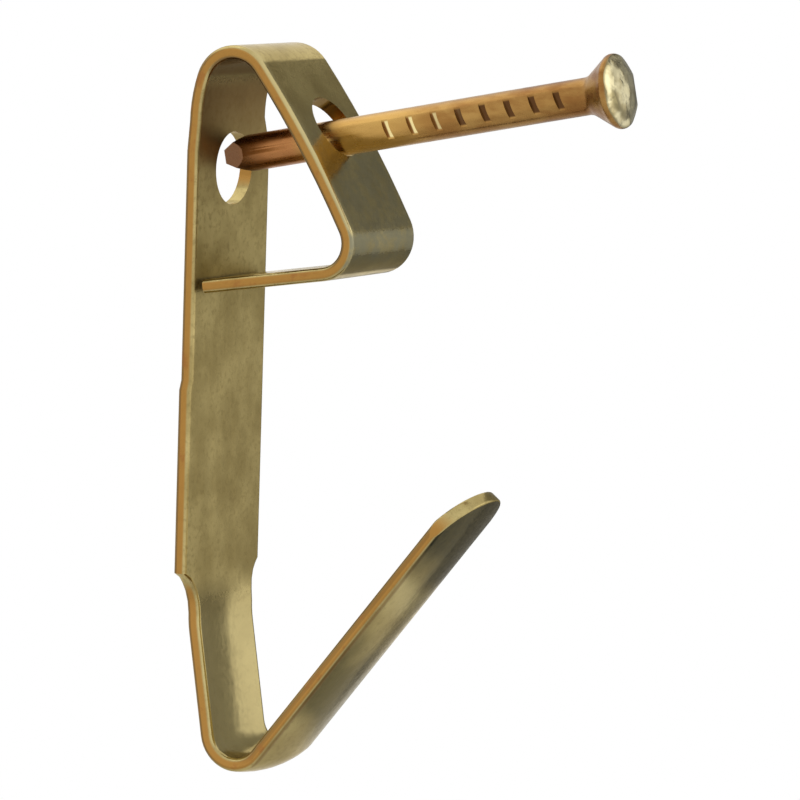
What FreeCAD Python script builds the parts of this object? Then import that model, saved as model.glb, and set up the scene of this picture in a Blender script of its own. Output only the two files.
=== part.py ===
"""Picture hook: one brass-plated strip folded into a nail guide and a dished hook, with its nail."""
import FreeCAD
import Part
import Sketcher

import math
import os

Vector = FreeCAD.Vector

# Driving dimensions in millimetres and degrees
# The origin lies on the back face, in the middle of the plate; the wall is on its +Y side.
SIZES = {
    # strip
    "strip_thickness": 0.7,
    "edge_flat": 0.14,
    "plate_width": 7.85,
    "plate_rise": 13.1,
    "plate_drop": 10.2,
    "edge_step": 0.2,
    "edge_step_drop": 0.2,
    "edge_step_length": 0.5,
    # nail guide above the plate
    "guide_crest_rise": 4.0,
    "guide_depth": 9.65,
    "guide_front_drop": 5.75,
    "guide_width": 7.1,
    "guide_offset": 0.175,
    "guide_taper_length": 1.5,
    "shoulder_radius": 7.3,
    "top_bend_radius": 1.5,
    "guide_leg_radius": 56.0,
    "front_bend_radius": 1.25,
    "return_angle": 9.0,
    "return_gap": 0.45,
    # hook below the plate
    "neck_length": 2.2,
    "hook_width": 6.0,
    "dish_radius": 14.0,
    "hook_fall": 8.3,
    "lean_radius": 6.05,
    "lean_angle": 9.1,
    "hook_bend_radius": 1.55,
    "hook_leg_angle": 51.8,
    "hook_leg_length": 18.35,
    "tip_shoulder": 0.03,
    "tip_edge_radius": 0.12,
    # nail holes
    "back_hole_diameter": 3.8,
    "front_hole_diameter": 3.5,
    "front_hole_climb": 5.7,
    # nail
    "nail_diameter": 1.9,
    "nail_length": 23.0,
    "nail_tilt": 11.6,
    "nail_point_length": 1.4,
    "nail_point_width": 0.7,
    "nail_point_setback": 0.35,
    "nail_rest_clearance": 0.05,
    "nail_top_clearance": 0.3,
    "head_diameter": 3.8,
    "head_cone_angle": 36.0,
    "head_fillet_radius": 0.8,
    "head_rim_radius": 0.32,
    "head_dome_height": 0.23,
    "facet_angle": 24.0,
    "facet_depth": 0.075,
    "nick_end_gap": 3.42,
    "nick_pitch": 1.39,
    "nick_width": 0.36,
    "nick_depth": 0.15,
    "nick_slant": 15.0,
}
NICK_COUNT = 8
FACET_COUNT = 7
POINT_SIDES = 4

# how far the cuts through the strip reach, in strip thicknesses
TIP_CUT_REACH = 6
HOLE_CUT_REACH = 4

doc = FreeCAD.newDocument("picture_hook")


def make_sheet():
    """Puts every driving dimension in a cell of its own, with its name as alias."""
    sheet = doc.addObject("Spreadsheet::Sheet", "sizes")
    for row, (name, value) in enumerate(SIZES.items(), start=1):
        sheet.set(f"A{row}", name)
        sheet.set(f"B{row}", str(value))
        sheet.setAlias(f"B{row}", name)
    doc.recompute()
    return sheet


sizes = make_sheet()


def size(name):
    return float(getattr(sizes, name))


def cell(name):
    return f"sizes.{name}"


# Sketch helpers

def new_body(label):
    body = doc.addObject("PartDesign::Body", label)
    body.Label = label
    return body


def origin_plane(body, role):
    return next(item for item in body.Origin.OriginFeatures if item.Role == role)


def new_sketch(body, name, role):
    sketch = body.newObject("Sketcher::SketchObject", name)
    sketch.AttachmentSupport = [(origin_plane(body, role), "")]
    sketch.MapMode = "FlatFace"
    return sketch


def bind(sketch, constraint, name, expression):
    """Adds a dimension and ties it to the sheet."""
    index = sketch.addConstraint(constraint)
    sketch.renameConstraint(index, name)
    sketch.setExpression(f"Constraints.{name}", expression)


def note(sketch, constraint, name):
    """Adds a reference dimension, which only reads a distance off the sketch."""
    index = sketch.addConstraint(constraint)
    sketch.setDriving(index, False)
    sketch.renameConstraint(index, name)


def arc(center, radius, start, end):
    """Arc drawn counter-clockwise between two angles in radians."""
    circle = Part.Circle(Vector(center[0], center[1], 0), Vector(0, 0, 1), radius)
    return Part.ArcOfCircle(circle, start, end)


def line(first, last):
    return Part.LineSegment(Vector(*first, 0), Vector(*last, 0))


def unit(angle):
    return (math.cos(angle), math.sin(angle))


def along(point, direction, distance):
    return (point[0] + direction[0] * distance, point[1] + direction[1] * distance)


def join(sketch, first, first_end, second, second_end):
    """Joins two curves end to end without a corner."""
    sketch.addConstraint(Sketcher.Constraint("Tangent", first, first_end, second, second_end))


# numbers by which a sketch names its own axes and the points of a curve
X_AXIS, Y_AXIS = range(-1, -3, -1)
ORIGIN = X_AXIS
START, END, CENTER = range(1, 4)

EDGE_RADIUS = f"({cell('strip_thickness')} - {cell('edge_flat')}) / 2"


def edge_radius():
    """Radius of the strip's rounded edges, which leaves a narrow flat between them."""
    return (size("strip_thickness") - size("edge_flat")) / 2


def flat_section(sketch, left, right, left_rule, right_rule):
    """Strip section with rounded edges; its outer face lies on the sketch's X axis."""
    thick, radius = size("strip_thickness"), edge_radius()
    low, high = -thick, 0.0
    quarter = math.pi / 2
    sketch.addGeometry(line((-left + radius, high), (right - radius, high)))
    sketch.addGeometry(arc((right - radius, high - radius), radius, 0, quarter))
    sketch.addGeometry(line((right, high - radius), (right, low + radius)))
    sketch.addGeometry(arc((right - radius, low + radius), radius, -quarter, 0))
    sketch.addGeometry(line((right - radius, low), (-left + radius, low)))
    sketch.addGeometry(arc((-left + radius, low + radius), radius, 2 * quarter, 3 * quarter))
    sketch.addGeometry(line((-left, low + radius), (-left, high - radius)))
    sketch.addGeometry(arc((-left + radius, high - radius), radius, quarter, 2 * quarter))
    join(sketch, 0, END, 1, END)
    join(sketch, 1, START, 2, START)
    join(sketch, 2, END, 3, END)
    join(sketch, 3, START, 4, START)
    join(sketch, 4, END, 5, END)
    join(sketch, 5, START, 6, START)
    join(sketch, 6, END, 7, END)
    join(sketch, 7, START, 0, START)
    for side, rule in ((0, "Horizontal"), (4, "Horizontal"), (2, "Vertical"), (6, "Vertical")):
        sketch.addConstraint(Sketcher.Constraint(rule, side))
    for corner in (3, 5, 7):
        sketch.addConstraint(Sketcher.Constraint("Equal", 1, corner))
    bind(sketch, Sketcher.Constraint("Radius", 1, radius), "edge_radius", EDGE_RADIUS)
    sketch.addConstraint(Sketcher.Constraint("PointOnObject", 0, START, X_AXIS))
    bind(sketch, Sketcher.Constraint("DistanceY", 4, START, ORIGIN, START, thick),
         "thickness", cell("strip_thickness"))
    bind(sketch, Sketcher.Constraint("DistanceX", ORIGIN, START, 2, START, right), "right", right_rule)
    bind(sketch, Sketcher.Constraint("DistanceX", 6, START, ORIGIN, START, left), "left", left_rule)


def dished_section(sketch, half, half_rule, inner, inner_rule):
    """Curved strip section, hollow towards -Y; the middle of its outer face is the sketch's origin."""
    thick, radius = size("strip_thickness"), edge_radius()
    outer = inner + thick
    center = (0.0, -outer)
    up = math.pi / 2
    outer_turn = math.asin(radius / (outer - radius))
    inner_turn = math.asin(radius / (inner + radius))
    outer_end = math.sqrt((outer - radius) ** 2 - radius ** 2)
    inner_end = math.sqrt((inner + radius) ** 2 - radius ** 2)
    reach = math.asin(half / outer_end)
    right, left = up - reach, up + reach
    sketch.addGeometry(arc(center, outer, right + outer_turn, left - outer_turn))
    sketch.addGeometry(arc(along(center, unit(right + outer_turn), outer - radius), radius,
                           right - up, right + outer_turn))
    sketch.addGeometry(line(along(center, unit(right), outer_end), along(center, unit(right), inner_end)))
    sketch.addGeometry(arc(along(center, unit(right + inner_turn), inner + radius), radius,
                           right + inner_turn - 2 * up, right - up))
    sketch.addGeometry(arc(center, inner, right + inner_turn, left - inner_turn))
    sketch.addGeometry(arc(along(center, unit(left - inner_turn), inner + radius), radius,
                           left + up, left - inner_turn + 2 * up))
    sketch.addGeometry(line(along(center, unit(left), inner_end), along(center, unit(left), outer_end)))
    sketch.addGeometry(arc(along(center, unit(left - outer_turn), outer - radius), radius,
                           left - outer_turn, left + up))
    join(sketch, 0, START, 1, END)
    join(sketch, 1, START, 2, START)
    join(sketch, 2, END, 3, END)
    join(sketch, 3, START, 4, START)
    join(sketch, 4, END, 5, END)
    join(sketch, 5, START, 6, START)
    join(sketch, 6, END, 7, END)
    join(sketch, 7, START, 0, END)
    sketch.addConstraint(Sketcher.Constraint("Coincident", 4, CENTER, 0, CENTER))
    sketch.addConstraint(Sketcher.Constraint("PointOnObject", 0, CENTER, Y_AXIS))
    for side in (2, 6):
        sketch.addConstraint(Sketcher.Constraint("PointOnObject", 0, CENTER, side))
    for corner in (3, 5, 7):
        sketch.addConstraint(Sketcher.Constraint("Equal", 1, corner))
    bind(sketch, Sketcher.Constraint("Radius", 1, radius), "edge_radius", EDGE_RADIUS)
    bind(sketch, Sketcher.Constraint("Radius", 4, inner), "inner_radius", inner_rule)
    outer_rule = f"{inner_rule} + {cell('strip_thickness')}"
    bind(sketch, Sketcher.Constraint("Radius", 0, outer), "outer_radius", outer_rule)
    bind(sketch, Sketcher.Constraint("DistanceY", 0, CENTER, ORIGIN, START, outer), "belly", outer_rule)
    bind(sketch, Sketcher.Constraint("DistanceX", ORIGIN, START, 2, START, half), "right", half_rule)
    bind(sketch, Sketcher.Constraint("DistanceX", 6, END, ORIGIN, START, half), "left", half_rule)


def lift(sketch, rule):
    """Moves a section sketch along Z."""
    sketch.setExpression("AttachmentOffset.Base.z", rule)


def face_along(sketch, forward_rule, height_rule, angle_rule):
    """Stands a section sketch across the end of a folded leg."""
    sketch.AttachmentOffset = FreeCAD.Placement(Vector(), FreeCAD.Rotation(Vector(1, 0, 0), 1))
    sketch.setExpression("AttachmentOffset.Base.y", f"-({forward_rule})")
    sketch.setExpression("AttachmentOffset.Base.z", height_rule)
    sketch.setExpression("AttachmentOffset.Rotation.Angle", angle_rule)


# Strip: the flat plate

HALF_PLATE = f"{cell('plate_width')} / 2"
WIDE_SIDE = f"{HALF_PLATE} + {cell('edge_step')}"
STEP_TOP = f"-{cell('edge_step_drop')}"
STEP_BOTTOM = f"-{cell('edge_step_drop')} - {cell('edge_step_length')}"
NECK_TOP = f"-{cell('plate_drop')}"
HOOK_TOP_DROP = f"({cell('plate_drop')} + {cell('neck_length')})"


def plate_section(body, name, height_rule, wide):
    """Section of the plate; the lower part is a step wider on its -X edge."""
    sketch = new_sketch(body, name, "XY_Plane")
    lift(sketch, height_rule)
    half = size("plate_width") / 2
    left = half + size("edge_step") if wide else half
    flat_section(sketch, left, half, WIDE_SIDE if wide else HALF_PLATE, HALF_PLATE)
    return sketch


def add_pad(body, name, sketch, length_rule, downwards=False):
    pad = body.newObject("PartDesign::Pad", name)
    pad.Profile = sketch
    pad.Reversed = downwards
    pad.setExpression("Length", length_rule)
    doc.recompute()
    return pad


def add_loft(body, name, sections):
    loft = body.newObject("PartDesign::AdditiveLoft", name)
    loft.Profile = sections[0]
    loft.Sections = sections[1:]
    loft.Ruled = True
    doc.recompute()
    return loft


def add_plate(body):
    upper = plate_section(body, "upper_section", STEP_TOP, False)
    lower = plate_section(body, "lower_section", STEP_BOTTOM, True)
    add_pad(body, "upper_plate", upper,
            f"{cell('plate_rise')} - {cell('guide_taper_length')} + {cell('edge_step_drop')}")
    add_loft(body, "plate_step", [upper, lower])
    add_pad(body, "lower_plate", lower,
            f"{cell('plate_drop')} - {cell('edge_step_drop')} - {cell('edge_step_length')}", True)


# Strip: neck and dished hook

# shares of the neck's length at which its sections stand, and how far each one is dished
NECK_SECTIONS = ((0.12, 0.06), (0.27, 0.18), (0.47, 0.42), (0.72, 0.76), (1.0, 1.0))


def neck_section(body, index, share, dish):
    """One section of the neck, which narrows in a hollow curve while the strip starts to dish."""
    sketch = new_sketch(body, f"neck_section_{index}", "XY_Plane")
    lift(sketch, f"-{cell('plate_drop')} - {share} * {cell('neck_length')}")
    flare = (1 - share) ** 3
    spare = size("plate_width") - size("hook_width")
    half = (size("hook_width") + flare * spare) / 2
    spare_rule = f"({cell('plate_width')} - {cell('hook_width')})"
    half_rule = f"({cell('hook_width')} + {flare} * {spare_rule}) / 2"
    dished_section(sketch, half, half_rule, size("dish_radius") / dish, f"{cell('dish_radius')} / {dish}")
    return sketch


def add_neck(body):
    top = plate_section(body, "neck_top", NECK_TOP, True)
    sections = [neck_section(body, index, share, dish)
                for index, (share, dish) in enumerate(NECK_SECTIONS, start=1)]
    add_loft(body, "neck", [top] + sections)
    return sections[-1]


def hook_spine(body):
    """Line of the hook's outer face: a slight lean, the bottom bend and the straight front leg."""
    sketch = new_sketch(body, "hook_spine", "YZ_Plane")
    thick = size("strip_thickness")
    lean = math.radians(size("lean_angle"))
    rise = math.radians(size("hook_leg_angle"))
    lean_radius = size("lean_radius") + thick
    bend_radius = size("hook_bend_radius") + thick
    top = -size("plate_drop") - size("neck_length")
    lean_center = (-lean_radius, top)
    lean_end = along(lean_center, unit(-lean), lean_radius)
    across = unit(-lean)
    bend_height = top - size("hook_fall") + bend_radius
    reach = lean_end[0] * across[0] + lean_end[1] * across[1] - bend_radius
    bend_center = ((reach - bend_height * across[1]) / across[0], bend_height)
    bend_start = along(bend_center, across, bend_radius)
    leg_normal = -math.pi / 2 - rise
    leg_start = along(bend_center, unit(leg_normal), bend_radius)
    leg_end = along(leg_start, unit(math.pi - rise), size("hook_leg_length") + thick)
    sketch.addGeometry(arc(lean_center, lean_radius, -lean, 0))
    sketch.addGeometry(line(lean_end, bend_start))
    sketch.addGeometry(arc(bend_center, bend_radius, leg_normal, -lean))
    sketch.addGeometry(line(leg_start, leg_end))
    join(sketch, 0, START, 1, START)
    join(sketch, 1, END, 2, END)
    join(sketch, 2, START, 3, START)
    sketch.addConstraint(Sketcher.Constraint("PointOnObject", 0, END, Y_AXIS))
    sketch.addConstraint(Sketcher.Constraint("Horizontal", 0, CENTER, 0, END))
    bind(sketch, Sketcher.Constraint("DistanceY", 0, END, ORIGIN, START, -top), "top", HOOK_TOP_DROP)
    bind(sketch, Sketcher.Constraint("Radius", 0, lean_radius), "lean_radius",
         f"{cell('lean_radius')} + {cell('strip_thickness')}")
    bind(sketch, Sketcher.Constraint("Radius", 2, bend_radius), "bend_radius",
         f"{cell('hook_bend_radius')} + {cell('strip_thickness')}")
    bind(sketch, Sketcher.Constraint("Angle", 1, -math.pi / 2 - lean), "lean_angle",
         f"-90 - {cell('lean_angle')}")
    bind(sketch, Sketcher.Constraint("DistanceY", 2, CENTER, ORIGIN, START, -bend_height), "bend_height",
         f"{HOOK_TOP_DROP} + {cell('hook_fall')} - {cell('hook_bend_radius')} - {cell('strip_thickness')}")
    bind(sketch, Sketcher.Constraint("Angle", 3, math.pi - rise), "leg_angle",
         f"180 - {cell('hook_leg_angle')}")
    bind(sketch, Sketcher.Constraint("Distance", 3, size("hook_leg_length") + thick), "leg_length",
         f"{cell('hook_leg_length')} + {cell('strip_thickness')}")
    note(sketch, Sketcher.Constraint("DistanceX", 3, END, ORIGIN, START, -leg_end[0]), "tip_forward")
    note(sketch, Sketcher.Constraint("DistanceY", 3, END, ORIGIN, START, -leg_end[1]), "tip_drop")
    return sketch


def add_pipe(body, name, spine, profile):
    """Sweeps a strip section along a folded line."""
    pipe = body.newObject("PartDesign::AdditivePipe", name)
    pipe.Profile = profile
    pipe.Spine = (spine, [f"Edge{index}" for index in range(1, len(spine.Shape.Edges) + 1)])
    doc.recompute()
    return pipe


def tip_cutter(body):
    """Outline beyond the rounded tip; its arc is a little wider than the strip."""
    sketch = new_sketch(body, "tip_outline", "XY_Plane")
    face_along(sketch, "hook_spine.Constraints.tip_forward", "-hook_spine.Constraints.tip_drop",
               f"180 - {cell('hook_leg_angle')}")
    radius = size("hook_width") / 2 + size("tip_shoulder")
    radius_rule = f"{cell('hook_width')} / 2 + {cell('tip_shoulder')}"
    trim = size("strip_thickness")
    foot = -trim - radius
    sketch.addGeometry(arc((0, foot), radius, 0, math.pi))
    sketch.addGeometry(line((-radius, foot), (-radius, trim)))
    sketch.addGeometry(line((-radius, trim), (radius, trim)))
    sketch.addGeometry(line((radius, trim), (radius, foot)))
    join(sketch, 0, END, 1, START)
    join(sketch, 3, END, 0, START)
    for index in (1, 2):
        sketch.addConstraint(Sketcher.Constraint("Coincident", index, END, index + 1, START))
    sketch.addConstraint(Sketcher.Constraint("PointOnObject", 0, CENTER, Y_AXIS))
    sketch.addConstraint(Sketcher.Constraint("Vertical", 1))
    sketch.addConstraint(Sketcher.Constraint("Horizontal", 2))
    sketch.addConstraint(Sketcher.Constraint("Vertical", 3))
    bind(sketch, Sketcher.Constraint("Radius", 0, radius), "tip_radius", radius_rule)
    bind(sketch, Sketcher.Constraint("DistanceY", 0, CENTER, ORIGIN, START, -foot), "setback",
         f"{radius_rule} + {cell('strip_thickness')}")
    bind(sketch, Sketcher.Constraint("DistanceY", ORIGIN, START, 2, START, trim), "beyond",
         cell("strip_thickness"))
    return sketch


def add_pocket(body, name, sketch, length_rule, both_ways=False):
    pocket = body.newObject("PartDesign::Pocket", name)
    pocket.Profile = sketch
    pocket.Midplane = both_ways
    pocket.setExpression("Length", length_rule)
    doc.recompute()
    return pocket


def soften_tip(body, cut):
    """Rounds the two long edges that the tip's cut leaves across the strip."""
    tip_radius = size("hook_width") / 2 + size("tip_shoulder")
    tip_face = next(face for face in cut.Shape.Faces
                    if math.isclose(getattr(face.Surface, "Radius", 0), tip_radius))
    rims = [edge for edge in tip_face.Edges if edge.Length > size("hook_width") / 2]
    names = [f"Edge{index}" for index, edge in enumerate(cut.Shape.Edges, start=1)
             if any(edge.isSame(rim) for rim in rims)]
    fillet = body.newObject("PartDesign::Fillet", "soft_tip")
    fillet.Base = (cut, names)
    fillet.setExpression("Radius", cell("tip_edge_radius"))
    doc.recompute()


def add_hook(body, profile):
    spine = hook_spine(body)
    doc.recompute()
    add_pipe(body, "hook", spine, profile)
    reach_rule = f"{cell('strip_thickness')} * {TIP_CUT_REACH}"
    cut = add_pocket(body, "rounded_tip", tip_cutter(body), reach_rule, True)
    soften_tip(body, cut)


# Strip: the nail guide folded over the plate

FRONT_BEND_HEIGHT = f"({cell('plate_rise')} - {cell('guide_front_drop')})"


def circle_crossing(first, first_radius, second, second_radius):
    """Crossing of two circles on the right of the line from the first centre to the second."""
    dx, dy = second[0] - first[0], second[1] - first[1]
    apart = math.hypot(dx, dy)
    reach = (first_radius ** 2 - second_radius ** 2 + apart ** 2) / (2 * apart)
    side = math.sqrt(first_radius ** 2 - reach ** 2)
    return ((first[0] + (dx * reach + dy * side) / apart), (first[1] + (dy * reach - dx * side) / apart))


def direction(first, last):
    return math.atan2(last[1] - first[1], last[0] - first[0])


def guide_spine(body):
    """Line of the guide's outer face: shoulder, top bend, bowed front leg, front bend, return leg."""
    sketch = new_sketch(body, "guide_spine", "YZ_Plane")
    thick = size("strip_thickness")
    shoulder, top, front = (size(name) + thick
                            for name in ("shoulder_radius", "top_bend_radius", "front_bend_radius"))
    leg = size("guide_leg_radius")
    back = math.radians(size("return_angle"))
    start = (0.0, size("plate_rise"))
    shoulder_center = (-shoulder, start[1])
    top_height = start[1] + size("guide_crest_rise") - top
    apart = shoulder - top
    top_center = (-shoulder + math.sqrt(apart ** 2 - (top_height - start[1]) ** 2), top_height)
    front_center = (front - size("guide_depth"), start[1] - size("guide_front_drop"))
    leg_center = circle_crossing(front_center, leg - front, top_center, leg - top)
    top_turn = direction(shoulder_center, top_center)
    leg_top = direction(leg_center, top_center)
    leg_foot = direction(leg_center, front_center)
    return_turn = 3 * math.pi / 2 - back
    return_start = along(front_center, unit(return_turn), front)
    end = -thick - size("return_gap")
    return_end = along(return_start, unit(-back), (end - return_start[0]) / math.cos(back))
    sketch.addGeometry(arc(shoulder_center, shoulder, 0, top_turn))
    sketch.addGeometry(arc(top_center, top, top_turn, leg_top))
    sketch.addGeometry(arc(leg_center, leg, leg_top, leg_foot))
    sketch.addGeometry(arc(front_center, front, leg_foot, return_turn))
    sketch.addGeometry(line(return_start, return_end))
    for index in range(4):
        join(sketch, index, END, index + 1, START)
    sketch.addConstraint(Sketcher.Constraint("PointOnObject", 0, START, Y_AXIS))
    sketch.addConstraint(Sketcher.Constraint("Horizontal", 0, CENTER, 0, START))
    bind(sketch, Sketcher.Constraint("DistanceY", ORIGIN, START, 0, START, start[1]), "start",
         cell("plate_rise"))
    for index, name, radius in ((0, "shoulder_radius", shoulder), (1, "top_bend_radius", top),
                                (3, "front_bend_radius", front)):
        bind(sketch, Sketcher.Constraint("Radius", index, radius), name,
             f"{cell(name)} + {cell('strip_thickness')}")
    bind(sketch, Sketcher.Constraint("Radius", 2, leg), "leg_radius", cell("guide_leg_radius"))
    bind(sketch, Sketcher.Constraint("DistanceY", 0, START, 1, CENTER, top_height - start[1]), "top_rise",
         f"{cell('guide_crest_rise')} - {cell('top_bend_radius')} - {cell('strip_thickness')}")
    bind(sketch, Sketcher.Constraint("DistanceX", 3, CENTER, ORIGIN, START, -front_center[0]), "front_depth",
         f"{cell('guide_depth')} - {cell('front_bend_radius')} - {cell('strip_thickness')}")
    bind(sketch, Sketcher.Constraint("DistanceY", ORIGIN, START, 3, CENTER, front_center[1]), "front_height",
         FRONT_BEND_HEIGHT)
    bind(sketch, Sketcher.Constraint("Angle", 4, -back), "return_angle", f"-{cell('return_angle')}")
    bind(sketch, Sketcher.Constraint("DistanceX", 4, END, ORIGIN, START, -end), "return_end",
         f"{cell('strip_thickness')} + {cell('return_gap')}")
    note(sketch, Sketcher.Constraint("DistanceX", ORIGIN, START, 2, CENTER, leg_center[0]),
         "leg_center_back")
    note(sketch, Sketcher.Constraint("DistanceY", 2, CENTER, ORIGIN, START, -leg_center[1]),
         "leg_center_drop")
    return sketch


def add_guide(body):
    half, offset = size("guide_width") / 2, size("guide_offset")
    half_rule = f"{cell('guide_width')} / 2"
    foot = plate_section(body, "taper_foot", f"{cell('plate_rise')} - {cell('guide_taper_length')}", False)
    profile = new_sketch(body, "guide_section", "XY_Plane")
    lift(profile, cell("plate_rise"))
    flat_section(profile, half + offset, half - offset,
                 f"{half_rule} + {cell('guide_offset')}", f"{half_rule} - {cell('guide_offset')}")
    add_loft(body, "guide_taper", [foot, profile])
    spine = guide_spine(body)
    doc.recompute()
    add_pipe(body, "guide", spine, profile)


# Strip: nail holes

# the front hole's middle on the bowed leg, and the leg's slope there
HOLE_RISE = f"(({FRONT_BEND_HEIGHT} + {cell('front_hole_climb')}) * 1 mm)"
HOLE_SLOPE = (f"asin(({HOLE_RISE} + guide_spine.Constraints.leg_center_drop)"
              f" / ({cell('guide_leg_radius')} * 1 mm))")
HOLE_FORWARD = (f"({cell('guide_leg_radius')} * 1 mm * cos({HOLE_SLOPE})"
                " - guide_spine.Constraints.leg_center_back)")

# a point on the axis of the nail, which lies on the front hole's lower edge
HALF_NAIL = f"{cell('nail_diameter')} / 2"
TILT = f"({cell('nail_tilt')} * 1 deg)"
NAIL_REACH = f"(({HALF_NAIL} + {cell('nail_rest_clearance')}) * 1 mm)"
HOLE_RADIUS = f"({cell('front_hole_diameter')} / 2 * 1 mm)"
AXIS_FORWARD = f"({HOLE_FORWARD} + {HOLE_RADIUS} * sin({HOLE_SLOPE}) - {NAIL_REACH} * sin({TILT}))"
AXIS_RISE = f"({HOLE_RISE} - {HOLE_RADIUS} * cos({HOLE_SLOPE}) + {NAIL_REACH} * cos({TILT}))"


def axis_height(forward_rule):
    """Height of the nail's axis at a distance in front of the wall."""
    return f"({AXIS_RISE} - ({AXIS_FORWARD} - {forward_rule}) * tan({TILT}))"


# the back hole's middle, with its upper edge just clear of the nail
PLATE_FRONT = f"{cell('strip_thickness')} * 1 mm"
NAIL_TOP = f"({axis_height(PLATE_FRONT)} + {HALF_NAIL} * 1 mm / cos({TILT}))"
BACK_HOLE_RISE = f"{NAIL_TOP} + ({cell('nail_top_clearance')} - {cell('back_hole_diameter')} / 2) * 1 mm"


def hole_sketch(body, name, diameter):
    sketch = new_sketch(body, name, "XZ_Plane")
    sketch.addGeometry(Part.Circle(Vector(), Vector(0, 0, 1), size(diameter) / 2))
    sketch.addConstraint(Sketcher.Constraint("Coincident", 0, CENTER, ORIGIN, START))
    bind(sketch, Sketcher.Constraint("Diameter", 0, size(diameter)), "diameter", cell(diameter))
    return sketch


def add_holes(body):
    reach_rule = f"{cell('strip_thickness')} * {HOLE_CUT_REACH}"
    back = hole_sketch(body, "back_hole_outline", "back_hole_diameter")
    back.setExpression("AttachmentOffset.Base.y", BACK_HOLE_RISE)
    add_pocket(body, "back_hole", back, reach_rule, True)
    front = hole_sketch(body, "front_hole_outline", "front_hole_diameter")
    front.AttachmentOffset = FreeCAD.Placement(Vector(), FreeCAD.Rotation(Vector(1, 0, 0), 1))
    front.setExpression("AttachmentOffset.Base.y", HOLE_RISE)
    front.setExpression("AttachmentOffset.Base.z", HOLE_FORWARD)
    front.setExpression("AttachmentOffset.Rotation.Angle", f"-{HOLE_SLOPE}")
    add_pocket(body, "front_hole", front, reach_rule, True)


def build_strip():
    body = new_body("hook_strip")
    add_plate(body)
    profile = add_neck(body)
    add_hook(body, profile)
    add_guide(body)
    add_holes(body)
    return body


# Nail: modelled upright, with its point at the origin of its own body

RIM_CENTER = f"({cell('head_diameter')} / 2 - {cell('head_rim_radius')})"
RIM_DROP = f"({cell('head_rim_radius')} + {cell('head_dome_height')})"


def nail_profile(body):
    """Half outline of the nail: shank, fillet, cone under the head, rounded rim and dome."""
    sketch = new_sketch(body, "nail_profile", "XZ_Plane")
    shank, top = size("nail_diameter") / 2, size("nail_length")
    fillet, rim = size("head_fillet_radius"), size("head_rim_radius")
    rim_drop = rim + size("head_dome_height")
    rim_center = (size("head_diameter") / 2 - rim, top - rim_drop)
    cone = math.radians(size("head_cone_angle"))
    cone_top = along(rim_center, unit(-cone), rim)
    foot_x = shank + fillet * (1 - math.cos(cone))
    cone_foot = (foot_x, cone_top[1] - (cone_top[0] - foot_x) / math.tan(cone))
    neck = cone_foot[1] - fillet * math.sin(cone)
    crown = (rim_center[0] ** 2 + rim_drop ** 2 - rim ** 2) / (2 * size("head_dome_height"))
    crown_center = (0, top - crown)
    face = direction(crown_center, rim_center)
    sketch.addGeometry(line((0, 0), (shank, 0)))
    sketch.addGeometry(line((shank, 0), (shank, neck)))
    sketch.addGeometry(arc((shank + fillet, neck), fillet, math.pi - cone, math.pi))
    sketch.addGeometry(line(cone_foot, cone_top))
    sketch.addGeometry(arc(rim_center, rim, -cone, face))
    sketch.addGeometry(arc(crown_center, crown, face, math.pi / 2))
    sketch.addGeometry(line((0, top), (0, 0)))
    sketch.addConstraint(Sketcher.Constraint("Coincident", 0, START, ORIGIN, START))
    sketch.addConstraint(Sketcher.Constraint("Coincident", 0, END, 1, START))
    join(sketch, 1, END, 2, END)
    join(sketch, 2, START, 3, START)
    join(sketch, 3, END, 4, START)
    join(sketch, 4, END, 5, START)
    sketch.addConstraint(Sketcher.Constraint("Coincident", 5, END, 6, START))
    sketch.addConstraint(Sketcher.Constraint("Coincident", 6, END, 0, START))
    sketch.addConstraint(Sketcher.Constraint("Horizontal", 0))
    sketch.addConstraint(Sketcher.Constraint("Vertical", 1))
    sketch.addConstraint(Sketcher.Constraint("Vertical", 6))
    sketch.addConstraint(Sketcher.Constraint("PointOnObject", 5, CENTER, Y_AXIS))
    bind(sketch, Sketcher.Constraint("DistanceX", 0, START, 0, END, shank), "shank", HALF_NAIL)
    bind(sketch, Sketcher.Constraint("Radius", 2, fillet), "fillet", cell("head_fillet_radius"))
    bind(sketch, Sketcher.Constraint("Angle", 3, math.pi / 2 - cone), "cone",
         f"90 - {cell('head_cone_angle')}")
    bind(sketch, Sketcher.Constraint("Radius", 4, rim), "rim", cell("head_rim_radius"))
    bind(sketch, Sketcher.Constraint("DistanceX", ORIGIN, START, 4, CENTER, rim_center[0]), "rim_center",
         RIM_CENTER)
    bind(sketch, Sketcher.Constraint("DistanceY", 4, CENTER, 6, START, rim_drop), "rim_drop", RIM_DROP)
    bind(sketch, Sketcher.Constraint("DistanceY", ORIGIN, START, 6, START, top), "length",
         cell("nail_length"))
    return sketch


def corner_sketch(body, name, role, corners):
    """Straight-sided outline; each corner is given as two distances and the rules that drive them."""
    sketch = new_sketch(body, name, role)
    points = [(across, up) for across, up, _, _ in corners]
    for index, point in enumerate(points):
        sketch.addGeometry(line(point, points[(index + 1) % len(points)]))
    for index in range(len(points)):
        sketch.addConstraint(Sketcher.Constraint("Coincident", index, END, (index + 1) % len(points), START))
    for index, (across, up, across_rule, up_rule) in enumerate(corners):
        bind(sketch, Sketcher.Constraint("DistanceX", ORIGIN, START, index, START, across),
             f"across_{index}", across_rule)
        bind(sketch, Sketcher.Constraint("DistanceY", ORIGIN, START, index, START, up),
             f"up_{index}", up_rule)
    return sketch


def add_polar(body, name, cut, count):
    pattern = body.newObject("PartDesign::PolarPattern", name)
    pattern.Originals = [cut]
    pattern.Axis = (origin_plane(body, "Z_Axis"), [""])
    pattern.Angle = 360
    pattern.Occurrences = count
    body.Tip = pattern
    doc.recompute()


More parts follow.
